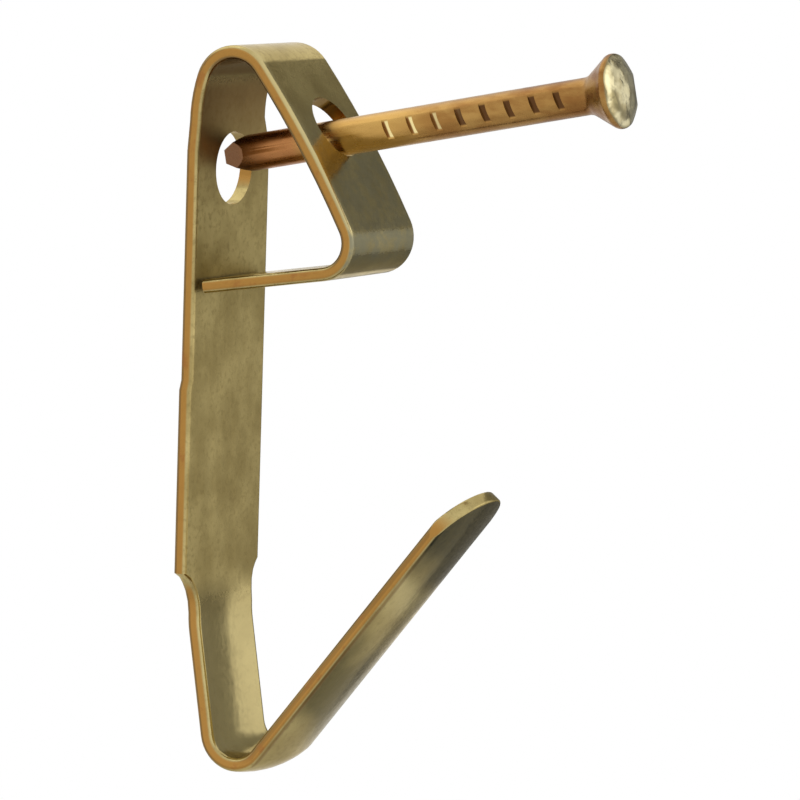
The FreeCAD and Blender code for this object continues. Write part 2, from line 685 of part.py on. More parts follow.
def add_point(body):
    """Flats of the blunt diamond point."""
    half, shank = size("nail_point_width") / 2, size("nail_diameter") / 2
    wide, rise = 2 * shank, size("nail_point_length")
    slope = rise / (shank - half)
    half_rule = f"{cell('nail_point_width')} / 2"
    slope_rule = f"{cell('nail_point_length')} / ({HALF_NAIL} - {half_rule})"
    wide_rule = cell("nail_diameter")
    sketch = corner_sketch(body, "point_outline", "XZ_Plane", (
        (half, 0, half_rule, "0"),
        (wide, 0, wide_rule, "0"),
        (wide, slope * (wide - half), wide_rule, f"{slope_rule} * ({wide_rule} - {half_rule})"),
    ))
    cut = add_pocket(body, "point_flat", sketch, f"{wide_rule} * 2", True)
    add_polar(body, "point_flats", cut, POINT_SIDES)


def add_facets(body):
    """Hammered facets round the edge of the head."""
    top, wide, rim = size("nail_length"), size("head_diameter"), size("head_rim_radius")
    lean = math.radians(size("facet_angle"))
    slope = math.tan(lean)
    reach = rim - size("facet_depth")
    touch = along((wide / 2 - rim, top - rim - size("head_dome_height")), unit(math.pi / 2 - lean), reach)
    angle_rule = f"{cell('facet_angle')} * 1 deg"
    reach_rule = f"({cell('head_rim_radius')} - {cell('facet_depth')})"
    across_rule = f"({RIM_CENTER} + {reach_rule} * sin({angle_rule}))"
    drop_rule = f"({RIM_DROP} - {reach_rule} * cos({angle_rule}))"
    top_rule, wide_rule = cell("nail_length"), cell("head_diameter")
    inner = touch[0] - (top - touch[1]) / slope
    inner_rule = f"{across_rule} - {drop_rule} / tan({angle_rule})"
    low = touch[1] - (wide - touch[0]) * slope
    low_rule = f"{top_rule} - {drop_rule} - ({wide_rule} - {across_rule}) * tan({angle_rule})"
    sketch = corner_sketch(body, "facet_outline", "XZ_Plane", (
        (inner, top, inner_rule, top_rule),
        (wide, low, wide_rule, low_rule),
        (wide, top, wide_rule, top_rule),
    ))
    cut = add_pocket(body, "facet", sketch, f"{wide_rule} * 2", True)
    add_polar(body, "facets", cut, FACET_COUNT)


def add_nicks(body, side):
    """Row of slanting gripper nicks along one side of the shank."""
    shank, half = size("nail_diameter") / 2, size("nick_width") / 2
    lean = shank * math.tan(math.radians(size("nick_slant")))
    lean_rule = f"{HALF_NAIL} * tan({cell('nick_slant')} * 1 deg)"
    half_rule = f"{cell('nick_width')} / 2"
    row = size("nick_pitch") * (NICK_COUNT - 1)
    row_rule = f"{cell('nick_pitch')} * {NICK_COUNT - 1}"
    first = size("nail_length") - size("nick_end_gap") - row
    first_rule = f"{cell('nail_length')} - {cell('nick_end_gap')} - {row_rule}"
    name = "left" if side < 0 else "right"
    sketch = corner_sketch(body, f"nick_outline_{name}", "YZ_Plane", (
        (-shank, first + lean - half, f"-{HALF_NAIL}", f"{first_rule} + {lean_rule} - {half_rule}"),
        (shank, first - lean - half, HALF_NAIL, f"{first_rule} - {lean_rule} - {half_rule}"),
        (shank, first - lean + half, HALF_NAIL, f"{first_rule} - {lean_rule} + {half_rule}"),
        (-shank, first + lean + half, f"-{HALF_NAIL}", f"{first_rule} + {lean_rule} + {half_rule}"),
    ))
    sketch.setExpression("AttachmentOffset.Base.z", f"{side} * ({HALF_NAIL} - {cell('nick_depth')})")
    cut = add_pocket(body, f"nick_{name}", sketch, HALF_NAIL)
    cut.Reversed = side > 0
    doc.recompute()
    pattern = body.newObject("PartDesign::LinearPattern", f"nicks_{name}")
    pattern.Originals = [cut]
    pattern.Direction = (origin_plane(body, "Z_Axis"), [""])
    pattern.setExpression("Length", row_rule)
    pattern.Occurrences = NICK_COUNT
    body.Tip = pattern
    doc.recompute()


def rest_nail(body):
    """Lays the nail on the lower edge of the front hole, with its point inside the back hole."""
    setback = f"{cell('nail_point_setback')} * 1 mm"
    body.Placement = FreeCAD.Placement(Vector(), FreeCAD.Rotation(Vector(1, 0, 0), 1))
    body.setExpression("Placement.Base.y", f"-{setback}")
    body.setExpression("Placement.Base.z", axis_height(setback))
    body.setExpression("Placement.Rotation.Angle", f"90 - {cell('nail_tilt')}")
    doc.recompute()


def build_nail():
    body = new_body("nail")
    profile = nail_profile(body)
    turned = body.newObject("PartDesign::Revolution", "nail_blank")
    turned.Profile = profile
    turned.ReferenceAxis = (profile, ["V_Axis"])
    turned.Angle = 360
    doc.recompute()
    add_point(body)
    add_facets(body)
    for side in (-1, 1):
        add_nicks(body, side)
    rest_nail(body)
    return body


def check(bodies):
    """Stops before anything is written if an object failed or a piece isn't one sound solid."""
    for item in doc.Objects:
        if "Invalid" in item.State or "Error" in item.State:
            raise RuntimeError(f"{item.Name} failed: {item.State}")
    for body in bodies:
        shape = body.Shape
        if shape.isNull() or not shape.isValid() or len(shape.Solids) != 1:
            raise RuntimeError(f"{body.Label} is not one valid solid")


pieces = [build_strip(), build_nail()]
check(pieces)
os.makedirs("parts", exist_ok=True)
for piece in pieces:
    piece.Shape.exportStep(f"parts/{piece.Label}.step")
    print(f"{piece.Label}: {piece.Shape.Volume:.2f} cubic millimetres")
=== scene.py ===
"""Looks of the picture hook: brass-plated strip and nail, pale studio, camera at the photograph's angle."""

import math

import bpy
from mathutils import Matrix, Vector


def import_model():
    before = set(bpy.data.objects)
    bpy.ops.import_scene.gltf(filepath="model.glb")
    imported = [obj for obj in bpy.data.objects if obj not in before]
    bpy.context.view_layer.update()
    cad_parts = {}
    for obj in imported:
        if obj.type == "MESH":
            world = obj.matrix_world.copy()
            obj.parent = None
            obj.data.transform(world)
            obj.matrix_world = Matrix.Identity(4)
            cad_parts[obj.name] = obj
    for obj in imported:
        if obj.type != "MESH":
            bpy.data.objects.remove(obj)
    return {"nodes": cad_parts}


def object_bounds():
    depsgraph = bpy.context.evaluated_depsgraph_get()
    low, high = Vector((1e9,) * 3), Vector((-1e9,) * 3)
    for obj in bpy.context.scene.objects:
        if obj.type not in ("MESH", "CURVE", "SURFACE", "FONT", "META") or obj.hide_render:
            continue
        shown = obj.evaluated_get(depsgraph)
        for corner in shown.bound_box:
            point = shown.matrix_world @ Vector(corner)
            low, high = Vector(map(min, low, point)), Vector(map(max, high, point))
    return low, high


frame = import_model()
cad_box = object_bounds()

MM = 0.001


# Small helpers for building materials out of nodes

class Shader:
    """Node tree of one material, with short calls for the nodes that the materials below share."""

    def __init__(self, name):
        self.material = bpy.data.materials.new(name)
        self.material.use_nodes = True
        self.tree = self.material.node_tree
        self.tree.nodes.clear()
        self.output = self.node("ShaderNodeOutputMaterial")
        self.surface = self.node("ShaderNodeBsdfPrincipled")
        self.link(self.surface.outputs["BSDF"], self.output.inputs["Surface"])

    def node(self, kind, **settings):
        made = self.tree.nodes.new(kind)
        for name, value in settings.items():
            setattr(made, name, value)
        return made

    def link(self, source, target):
        self.tree.links.new(source, target)

    def feed(self, target, value):
        """Links an output to a socket, or sets the socket to a plain value."""
        if isinstance(value, bpy.types.NodeSocket):
            self.link(value, target)
        else:
            target.default_value = value

    def position(self):
        """Place on the object, in millimetres."""
        place = self.node("ShaderNodeTexCoord").outputs["Object"]
        return self.stretch(place, (1 / MM, 1 / MM, 1 / MM))

    def facing(self):
        """The three parts of the surface's direction: across the strip, to the back and up."""
        return self.axes(self.node("ShaderNodeNewGeometry").outputs["Normal"])

    def stretch(self, vector, factors):
        """Multiplies a vector along each axis."""
        made = self.node("ShaderNodeVectorMath", operation="MULTIPLY")
        self.link(vector, made.inputs[0])
        made.inputs[1].default_value = factors
        return made.outputs["Vector"]

    def noise(self, vector, scale, detail, roughness):
        made = self.node("ShaderNodeTexNoise")
        self.link(vector, made.inputs["Vector"])
        made.inputs["Scale"].default_value = scale
        made.inputs["Detail"].default_value = detail
        made.inputs["Roughness"].default_value = roughness
        return made.outputs["Fac"]

    def math(self, operation, first, second=0.0):
        made = self.node("ShaderNodeMath", operation=operation)
        self.feed(made.inputs[0], first)
        self.feed(made.inputs[1], second)
        return made.outputs[0]

    def dot(self, vector, direction):
        """Length of a vector along a direction."""
        made = self.node("ShaderNodeVectorMath", operation="DOT_PRODUCT")
        self.link(vector, made.inputs[0])
        made.inputs[1].default_value = direction
        return made.outputs["Value"]

    def product(self, first, *others):
        result = first
        for other in others:
            result = self.math("MULTIPLY", result, other)
        return result

    def between(self, value, low, high, start=0.0, end=1.0):
        """Smooth change from start to end as a value goes from low to high."""
        made = self.node("ShaderNodeMapRange", interpolation_type="SMOOTHSTEP")
        self.feed(made.inputs["Value"], value)
        made.inputs["From Min"].default_value = low
        made.inputs["From Max"].default_value = high
        made.inputs["To Min"].default_value = start
        made.inputs["To Max"].default_value = end
        return made.outputs["Result"]

    def mix(self, share, first, second):
        """Blend of two colours."""
        made = self.node("ShaderNodeMix", data_type="RGBA")
        self.feed(made.inputs["Factor"], share)
        self.feed(made.inputs["A"], first)
        self.feed(made.inputs["B"], second)
        return made.outputs["Result"]

    def bump(self, height, distance, normal=None):
        made = self.node("ShaderNodeBump")
        self.link(height, made.inputs["Height"])
        made.inputs["Distance"].default_value = distance
        if normal is not None:
            self.link(normal, made.inputs["Normal"])
        return made.outputs["Normal"]

    def axes(self, vector):
        made = self.node("ShaderNodeSeparateXYZ")
        self.link(vector, made.inputs[0])
        return made.outputs["X"], made.outputs["Y"], made.outputs["Z"]


def linear(red, green, blue):
    """Linear colour from the 0 to 255 values of a screen colour, by the standard screen curve."""
    def channel(value):
        share = value / 255
        if share <= 0.04045:
            return share / 12.92
        return ((share + 0.055) / 1.055) ** 2.4
    return (channel(red), channel(green), channel(blue), 1.0)


# Strip: satin brass plating, mottled, with copper-coloured sheared edges, and painted reflections, highlights
# and shade

PALE_GOLD = linear(192, 174, 118)
OLIVE_GOLD = linear(166, 148, 96)
GRAIN_OLIVE = linear(136, 119, 74)
GOLD_SHEEN = linear(246, 238, 218)
# grey painted reflection on the outside of the nail guide
GUIDE_REFLECTION_GREY = linear(146, 141, 114)
# painted reflections on the front leg: olive on a lower stretch, near black on the tip
LEG_REFLECTION_OLIVE = linear(88, 81, 48)
DARK_REFLECTION = linear(40, 43, 35)
# pale gold: polish wear inside the hook, and painted highlight on the guide's rims and on a patch of the
# front leg
WEAR_AND_HIGHLIGHT_GOLD = linear(206, 190, 136)
SHADE_BROWN = linear(134, 106, 66)
EDGE_ORANGE = linear(172, 128, 65)
# painted shade in brown on the back of the sheared edges and along the front leg's rim
EDGE_SHADE_BROWN = linear(118, 90, 54)
RUST = linear(156, 102, 56)

# places on the strip, in millimetres: each a pair between which a share changes
LOOP_HEIGHT = (8.0, 16.0)
ABOVE_GUIDE_FOOT = (4.0, 5.0)
BELOW_GUIDE_FOOT = (4.0, 3.0)
BEND_DEPTH = (-6.0, -8.0)
REFLECTION_TOP = (15.0, 11.0)
GUIDE_RIM_HIGHLIGHT = (3.0, 3.6)
POLISH_START = (-10.0, -14.0)
FORMED_START = (-10.0, -13.0)

# painted dark reflections and a painted highlight on the front leg: their limits slope across the leg and
# wander, in millimetres of height
REFLECTION_SLOPE = 0.34
REFLECTION_WANDER = 2.8
TIP_REFLECTION = (-11.3, -8.4)
LOW_REFLECTION_TOP = (-12.0, -15.4)
LOW_REFLECTION_FOOT = (-19.6, -17.4)
HIGHLIGHT_TOP = (-9.8, -10.8)
HIGHLIGHT_FOOT = (-12.4, -11.0)
LEG_RIM_SHADE = (2.6, 2.8)

# rolled strip: its streaks run along its length
ROLLED = (1.0, 0.35, 0.35)

# parts of the surface's direction: each a pair between which a share changes
FACES_FULLY_FRONT = (-0.9, -0.99)
FACES_FRONT = (-0.4, -0.6)
FACES_DOWN = (-0.2, -0.5)
SLANTS_UP = (0.15, 0.4)
SLANTS_FRONT = (-0.1, -0.8)
BEND_FOOT = (-0.75, -0.35)
BEND_TOP = (0.5, 0.2)
LEG_DOWN = (-0.3, -0.5)
HOOK_FRONT = (-0.5, -0.8)
HOOK_LEVEL = (-0.3, 0.0)
EDGE_SIDE = (0.78, 0.97)
EDGE_BACK = (0.02, 0.35)
ROUNDING_SIDE = (0.3, 0.6)
ROUNDING_BACK = (0.2, 0.6)

# noises: scale per millimetre, detail and roughness
PLATING_CLOUDS = (0.4, 4.0, 0.6)
PLATING_GRAIN = (3.2, 5.0, 0.65)
REFLECTION_PATCHES = (1.3, 5.0, 0.65)
REFLECTION_EDGE = (0.35, 1.5, 0.5)
RUST_PATCHES = (0.7, 4.0, 0.65)
ROLLED_WAVES = (0.7, 2.0, 0.5)
PLATING_PITS = (1.8, 1.0, 0.5)

# levels of those noises: their middle, and pairs between which a share changes
NOISE_MIDDLE = 0.5
CLOUD_LEVELS = (0.35, 0.65)
GRAIN_LEVELS = (0.3, 0.7)
DARK_GRAIN_LEVELS = (0.45, 0.7)
REFLECTION_LEVELS = (0.36, 0.6)
RUST_LEVELS = (0.54, 0.68)

# shares of a colour over the one below it
GRAIN_SHARE = 0.52
REFLECTION_SHARE = 0.8
THIN_REFLECTION = 0.5
REFLECTION_IN_GRAIN = 0.88
LEG_RIM_SHADE_SHARE = 0.6
POLISH_SHARE = 0.6
RUST_SHARE = 0.6

# roughness, and heights of the bumps
SATIN = 0.36
SHINY = 0.14
DULL_GRAIN = 0.1
WAVE_HEIGHT = 0.025 * MM
PIT_HEIGHT = 0.006 * MM


def plating_colour(shader, place, grain):
    """Pale and olive clouds with a fine darker grain."""
    cloud = shader.noise(place, *PLATING_CLOUDS)
    plating = shader.mix(shader.between(cloud, *CLOUD_LEVELS), OLIVE_GOLD, PALE_GOLD)
    return shader.mix(shader.between(grain, *DARK_GRAIN_LEVELS, 0.0, GRAIN_SHARE), plating, GRAIN_OLIVE)


def shaded_loop(shader, height):
    """Share of painted brown shade inside the top of the nail guide."""
    _, back, up = shader.facing()
    inside = shader.math("MAXIMUM", shader.between(back, *FACES_FULLY_FRONT), shader.between(up, *FACES_DOWN))
    return shader.product(inside, shader.between(height, *LOOP_HEIGHT))


def guide_painted_reflection(shader, plating, place):
    """Outside of the nail guide: painted darker reflection, in patches, on its slanting leg and the bend
    below, and a pale painted highlight along the rims.
    """
    _, back, up = shader.facing()
    across, depth, height = shader.axes(place)
    slanting = shader.product(shader.between(up, *SLANTS_UP),
                              shader.between(back, *SLANTS_FRONT, 0.0, REFLECTION_SHARE))
    bend = shader.product(shader.between(depth, *BEND_DEPTH), shader.between(up, *BEND_FOOT),
                          shader.between(up, *BEND_TOP), shader.between(back, *FACES_FRONT))
    on_guide = shader.between(height, *ABOVE_GUIDE_FOOT)
    patches = shader.between(shader.noise(place, *REFLECTION_PATCHES), *REFLECTION_LEVELS, THIN_REFLECTION, 1.0)
    lower = shader.product(slanting, shader.between(height, *REFLECTION_TOP))
    guide_reflection = shader.product(shader.math("MAXIMUM", lower, bend), on_guide, patches)
    rim = shader.product(slanting, on_guide, shader.between(shader.math("ABSOLUTE", across), *GUIDE_RIM_HIGHLIGHT))
    return shader.mix(rim, shader.mix(guide_reflection, plating, GUIDE_REFLECTION_GREY), WEAR_AND_HIGHLIGHT_GOLD)


def leg_painted_reflections(shader, plating, place, grain):
    """Outside of the hook's front leg: painted reflections, dark on the tip and olive on a lower stretch, a
    painted highlight patch, and painted shade in brown along the rim.
    """
    _, back, up = shader.facing()
    across, _, height = shader.axes(place)
    outside = shader.product(shader.between(back, *FACES_FRONT), shader.between(up, *LEG_DOWN),
                             shader.between(height, *BELOW_GUIDE_FOOT))
    wander = shader.math("SUBTRACT", shader.noise(place, *REFLECTION_EDGE), NOISE_MIDDLE)
    level = shader.math("ADD", height, shader.product(across, REFLECTION_SLOPE))
    level = shader.math("ADD", level, shader.product(wander, REFLECTION_WANDER))
    mottled = shader.product(outside, shader.between(grain, *GRAIN_LEVELS, 1.0, REFLECTION_IN_GRAIN))
    low = shader.product(shader.between(level, *LOW_REFLECTION_TOP), shader.between(level, *LOW_REFLECTION_FOOT))
    rim = shader.between(shader.math("ABSOLUTE", across), *LEG_RIM_SHADE, 0.0, LEG_RIM_SHADE_SHARE)
    painted_highlight = shader.product(shader.between(level, *HIGHLIGHT_TOP), shader.between(level, *HIGHLIGHT_FOOT))
    painted_leg = shader.mix(shader.product(mottled, low), plating, LEG_REFLECTION_OLIVE)
    painted_leg = shader.mix(shader.product(mottled, painted_highlight), painted_leg, WEAR_AND_HIGHLIGHT_GOLD)
    painted_leg = shader.mix(shader.product(outside, rim), painted_leg, EDGE_SHADE_BROWN)
    return shader.mix(shader.product(mottled, shader.between(level, *TIP_REFLECTION)), painted_leg, DARK_REFLECTION)


def polished_hook(shader, height):
    """Share of polish on the inside of the hook's back leg, where things are hung and taken off."""
    _, back, up = shader.facing()
    inside = shader.product(shader.between(back, *HOOK_FRONT), shader.between(up, *HOOK_LEVEL))
    return shader.product(inside, shader.between(height, *POLISH_START, 0.0, POLISH_SHARE))


def sheared_edge_colour(shader, place):
    """Orange edge, with painted shade in brown where it turns to the back, and rust in patches."""
    _, back, _ = shader.facing()
    edge = shader.mix(shader.between(back, *EDGE_BACK), EDGE_ORANGE, EDGE_SHADE_BROWN)
    rust = shader.between(shader.noise(place, *RUST_PATCHES), *RUST_LEVELS, 0.0, RUST_SHARE)
    return shader.mix(rust, edge, RUST)


def sheared_edges(shader):
    """Share of the edge's colour: the narrow sides of the strip and the rounding behind them."""
    sideways, back, _ = shader.facing()
    sideways = shader.math("ABSOLUTE", sideways)
    side = shader.between(sideways, *EDGE_SIDE)
    behind = shader.product(shader.between(sideways, *ROUNDING_SIDE), shader.between(back, *ROUNDING_BACK))
    return shader.math("MAXIMUM", side, behind)


def strip_roughness(shader, height, grain):
    """Satin on the plate, shinier where the strip was formed."""
    _, _, up = shader.facing()
    formed = shader.math("MAXIMUM", shader.between(height, *FORMED_START),
                         shader.between(shader.math("ABSOLUTE", up), *SLANTS_UP))
    satin = shader.between(formed, 0.0, 1.0, SATIN, SHINY)
    return shader.math("ADD", satin, shader.between(grain, *GRAIN_LEVELS, 0.0, DULL_GRAIN))


def plated_strip():
    shader = Shader("plated_strip")
    place = shader.position()
    _, _, height = shader.axes(place)
    rolled = shader.stretch(place, ROLLED)
    grain = shader.noise(place, *PLATING_GRAIN)
    plating = plating_colour(shader, place, grain)
    plating = shader.mix(shaded_loop(shader, height), plating, SHADE_BROWN)
    plating = guide_painted_reflection(shader, plating, place)
    plating = shader.mix(polished_hook(shader, height), plating, WEAR_AND_HIGHLIGHT_GOLD)
    plating = leg_painted_reflections(shader, plating, place, grain)
    colour = shader.mix(sheared_edges(shader), plating, sheared_edge_colour(shader, place))
    shader.link(colour, shader.surface.inputs["Base Color"])
    shader.surface.inputs["Metallic"].default_value = 1.0
    shader.surface.inputs["Specular Tint"].default_value = GOLD_SHEEN
    shader.link(strip_roughness(shader, height, grain), shader.surface.inputs["Roughness"])
    waves = shader.bump(shader.noise(rolled, *ROLLED_WAVES), WAVE_HEIGHT)
    pits = shader.noise(place, *PLATING_PITS)
    shader.link(shader.bump(pits, PIT_HEIGHT, waves), shader.surface.inputs["Normal"])
    return shader.material


# Nail: semi-bright brass plating on drawn wire, paler head with painted shade, nicks with painted shade and
# highlights, painted shade inside the guide and on the point, painted light by the front hole

WIRE_COPPER = linear(158, 114, 60)
WIRE_GOLD = linear(186, 147, 84)
# painted shade in red-brown on the nail inside the guide
WIRE_SHADE_RED = linear(176, 120, 72)
# painted light on the nail around the guide's front hole
WIRE_PAINTED_LIGHT = linear(200, 159, 89)
# brown: a browner tone towards the head, and painted shade in the first nicks
WIRE_BROWN = linear(136, 92, 48)
HEAD_PALE = linear(216, 205, 164)
# painted shade on the head's hammered facets: grey blotches and a dark ring
HEAD_SHADE_GREY = linear(172, 158, 116)
HEAD_SHADE_RING = linear(112, 103, 72)
# nicks: painted shade in brown, and a painted highlight in pale gold
NICK_SHADE_BROWN = linear(92, 62, 36)
NICK_HIGHLIGHT_GOLD = linear(244, 224, 160)
# painted shade on the nail's point
POINT_SHADE_BROWN = linear(116, 80, 52)

# the nail's axis, as in the solids, in millimetres
NAIL_TILT = math.radians(11.6)
NAIL_POINT = Vector((0, -0.35, 11.15))
NAIL_RADIUS = 0.95
NAIL_AXIS = Vector((0, -math.cos(NAIL_TILT), math.sin(NAIL_TILT)))

# drawn wire: its streaks run along its length
DRAWN = (1.0, 0.35, 1.0)

# places along the nail from its point, and depth of the nicks, in millimetres
POINT_SHADE_END = (3.0, 0.8)
NICKS_START = (3.0, 5.0)
GUIDE_SHADE_END = (5.5, 4.0)
PAINTED_LIGHT_START = (4.0, 5.5)
PAINTED_LIGHT_END = (13.0, 9.5)
NICK_SHADE_DEEPENS = (11.5, 14.3)
BROWN_START = (11.0, 18.0)
HEAD_START = (22.0, 22.4)
NICK_FLOOR = (NAIL_RADIUS - 0.02, NAIL_RADIUS - 0.07)

# the row of nicks, as in the solids: first one, distance between two and lean, and the middle of a nick
# as a share of that distance
FIRST_NICK = 9.85
NICK_PITCH = 1.39
NICK_LEAN = math.tan(math.radians(15))
NICK_MIDDLE = (0.44, 0.5)

# distances out from the nail's axis: a ring of painted shade inside the hammered facets, and the head's rim,
# painted darker too
RING_INSIDE = (0.95, 1.25)
RING_OUTSIDE = (1.6, 1.35)
HEAD_RIM = (1.7, 1.86)

# parts of the surface's direction along the axis, between which the head's colour takes over
HEAD_FACING = (0.3, 0.7)

# noises: scale per millimetre, detail and roughness
WIRE_CLOUDS = (0.8, 4.0, 0.6)
WIRE_GRAIN = (4.0, 3.0, 0.55)
HEAD_BLOBS = (1.3, 2.0, 0.5)

# levels of those noises, and the shares or the roughness that they change between
BROWN_SHARE = (0.3, 0.6, 0.9, 0.35)
SHADE_BLOBS = (0.4, 0.66)
RING_BLOBS = (0.35, 0.55, 0.4, 1.0)
WIRE_SATIN = (0.3, 0.7, 0.24, 0.36)

# shares of a colour over the one below it, gain in polish, and heights of the bumps
PAINTED_LIGHT_SHARE = 0.8
RING_SHARE = 0.75
HEAD_POLISH = 0.1
DENT_HEIGHT = 0.06 * MM
WIRE_GRAIN_HEIGHT = 0.004 * MM


def from_axis(shader, place):
    """Distance along the nail's axis from its point, height over that axis and distance out from it."""
    offset = shader.node("ShaderNodeVectorMath", operation="SUBTRACT")
    shader.link(place, offset.inputs[0])
    offset.inputs[1].default_value = NAIL_POINT
    along = shader.dot(offset.outputs["Vector"], NAIL_AXIS)
    over = shader.dot(offset.outputs["Vector"], NAIL_AXIS.cross(Vector((1, 0, 0))))
    across, _, _ = shader.axes(offset.outputs["Vector"])
    squares = shader.math("ADD", shader.product(across, across), shader.product(over, over))
    return along, over, shader.math("SQRT", squares)


def nick_colour(shader, along, over):
    """Nicks: painted shade in brown, and in the first ones a painted highlight on the half towards the head.
    """
    leaning = shader.math("ADD", along, shader.product(over, NICK_LEAN))
    from_first = shader.math("SUBTRACT", leaning, FIRST_NICK - NICK_PITCH / 2)
    turn = shader.math("FRACT", shader.math("DIVIDE", from_first, NICK_PITCH))
    pale = shader.product(shader.between(turn, *NICK_MIDDLE), shader.between(along, *NICK_SHADE_DEEPENS, 1.0, 0.0))
    brown = shader.mix(shader.between(along, *NICK_SHADE_DEEPENS), WIRE_BROWN, NICK_SHADE_BROWN)
    return shader.mix(pale, brown, NICK_HIGHLIGHT_GOLD)


def wire_colour(shader, place, along, over, out):
    """Golden wire with painted shade in red inside the guide, painted light around its front hole, browner
    towards the head, with its nicks and painted shade on the point.
    """
    cloud = shader.noise(shader.stretch(place, DRAWN), *WIRE_CLOUDS)
    wire = shader.mix(shader.between(cloud, *CLOUD_LEVELS), WIRE_COPPER, WIRE_GOLD)
    brown = shader.product(shader.between(along, *BROWN_START), shader.between(cloud, *BROWN_SHARE))
    wire = shader.mix(brown, wire, WIRE_BROWN)
    bright = shader.product(shader.between(along, *PAINTED_LIGHT_START), shader.between(along, *PAINTED_LIGHT_END))
    wire = shader.mix(shader.product(bright, PAINTED_LIGHT_SHARE), wire, WIRE_PAINTED_LIGHT)
    wire = shader.mix(shader.between(along, *GUIDE_SHADE_END), wire, WIRE_SHADE_RED)
    nick = shader.product(shader.between(out, *NICK_FLOOR), shader.between(along, *NICKS_START))
    wire = shader.mix(nick, wire, nick_colour(shader, along, over))
    return shader.mix(shader.between(along, *POINT_SHADE_END), wire, POINT_SHADE_BROWN)


def head_colour(shader, blobs, out):
    """Pale hammered metal with painted shade: grey blotches, a darker ring inside the facets and a darker
    rim.
    """
    head = shader.mix(shader.between(blobs, *SHADE_BLOBS), HEAD_PALE, HEAD_SHADE_GREY)
    ring = shader.product(shader.between(out, *RING_INSIDE), shader.between(out, *RING_OUTSIDE),
                          shader.between(blobs, *RING_BLOBS))
    dark = shader.math("MAXIMUM", ring, shader.between(out, *HEAD_RIM))
    return shader.mix(shader.product(dark, RING_SHARE), head, HEAD_SHADE_RING)


def plated_nail():
    shader = Shader("plated_nail")
    place = shader.position()
    along, over, out = from_axis(shader, place)
    blobs = shader.noise(place, *HEAD_BLOBS)
    grain = shader.noise(shader.stretch(place, DRAWN), *WIRE_GRAIN)
    facing = shader.dot(shader.node("ShaderNodeNewGeometry").outputs["Normal"], NAIL_AXIS)
    on_head = shader.between(facing, *HEAD_FACING)
    wire = wire_colour(shader, place, along, over, out)
    colour = shader.mix(on_head, wire, head_colour(shader, blobs, out))
    shader.link(colour, shader.surface.inputs["Base Color"])
    shader.surface.inputs["Metallic"].default_value = 1.0
    satin = shader.between(grain, *WIRE_SATIN)
    polish = shader.product(on_head, HEAD_POLISH)
    shader.link(shader.math("SUBTRACT", satin, polish), shader.surface.inputs["Roughness"])
    dents = shader.bump(shader.product(blobs, shader.between(along, *HEAD_START)), DENT_HEIGHT)
    shader.link(shader.bump(grain, WIRE_GRAIN_HEIGHT, dents), shader.surface.inputs["Normal"])
    return shader.material


# Shading of the solids: smooth across their bends, sharp at their corners

CORNER_ANGLE = math.radians(25)
JOIN_REACH = 0.001 * MM


def even_shading():
    """Geometry nodes that join the faces of a solid and keep only its real corners sharp."""
    group = bpy.data.node_groups.new("even_shading", "GeometryNodeTree")
    group.interface.new_socket("Geometry", in_out="INPUT", socket_type="NodeSocketGeometry")
    group.interface.new_socket("Geometry", in_out="OUTPUT", socket_type="NodeSocketGeometry")
    make = group.nodes.new
    start, end = make("NodeGroupInput"), make("NodeGroupOutput")
    joined = make("GeometryNodeMergeByDistance")
    joined.inputs["Distance"].default_value = JOIN_REACH
    smooth = make("GeometryNodeSetShadeSmooth")
    corners = make("GeometryNodeSetShadeSmooth")
    corners.domain = "EDGE"
    corners.inputs["Shade Smooth"].default_value = False
    angle = make("GeometryNodeInputMeshEdgeAngle")
    sharp = make("FunctionNodeCompare")
    sharp.inputs["B"].default_value = CORNER_ANGLE
    group.links.new(angle.outputs["Unsigned Angle"], sharp.inputs["A"])
    group.links.new(sharp.outputs["Result"], corners.inputs["Selection"])
    chain = (start, joined, smooth, corners, end)
    for first, second in zip(chain, chain[1:]):
        group.links.new(first.outputs["Geometry"], second.inputs["Geometry"])
    return group


def dress(node, material, shading):
    """Gives a CAD node its material, and even shading where its faces meet without a corner."""
    piece = frame["nodes"][node]
    for slot in piece.material_slots:
        slot.material = material
    piece.modifiers.new("even_shading", "NODES").node_group = shading
    weighted = piece.modifiers.new("weighted_normals", "WEIGHTED_NORMAL")
    weighted.keep_sharp = True


shading = even_shading()
dress("hook_strip", plated_strip(), shading)
dress("nail", plated_nail(), shading)


# Studio: pale floor, white surroundings, a grey card on the right, soft lamps

FLOOR_DROP = 60 * MM
FLOOR_SIZE = 4000 * MM
FLOOR_GREY = (0.85, 0.85, 0.85, 1)
FLOOR_ROUGHNESS = 0.9
SHADOW_REACH = 80
WHITE_REACH = 300
ROOM_LEVEL = 0.85
WHITE = (1, 1, 1, 1)

# card: its outline as depths and heights in millimetres
CARD_DISTANCE = 120
CARD_OUTLINE = ((-82, -78), (10, -78), (29, -34), (62, -30), (62, 0), (-82, 140))
CARD_GREY = (0.34, 0.34, 0.33, 1)

# lamps: place, size and power in watts
TOP_LAMP = (Vector((40, 180, 240)) * MM, 260 * MM, 0.1)
FRONT_LAMP = (Vector((120, -300, 100)) * MM, 180 * MM, 0.08)


def seen_rays(tree):
    """One for rays from the camera and for those that a shiny or clear surface sends on."""
    path = tree.nodes.new("ShaderNodeLightPath")
    result = path.outputs["Is Camera Ray"]
    for other in ("Is Glossy Ray", "Is Transmission Ray"):
        larger = tree.nodes.new("ShaderNodeMath")
        larger.operation = "MAXIMUM"
        tree.links.new(result, larger.inputs[0])
        tree.links.new(path.outputs[other], larger.inputs[1])
        result = larger.outputs[0]
    return result


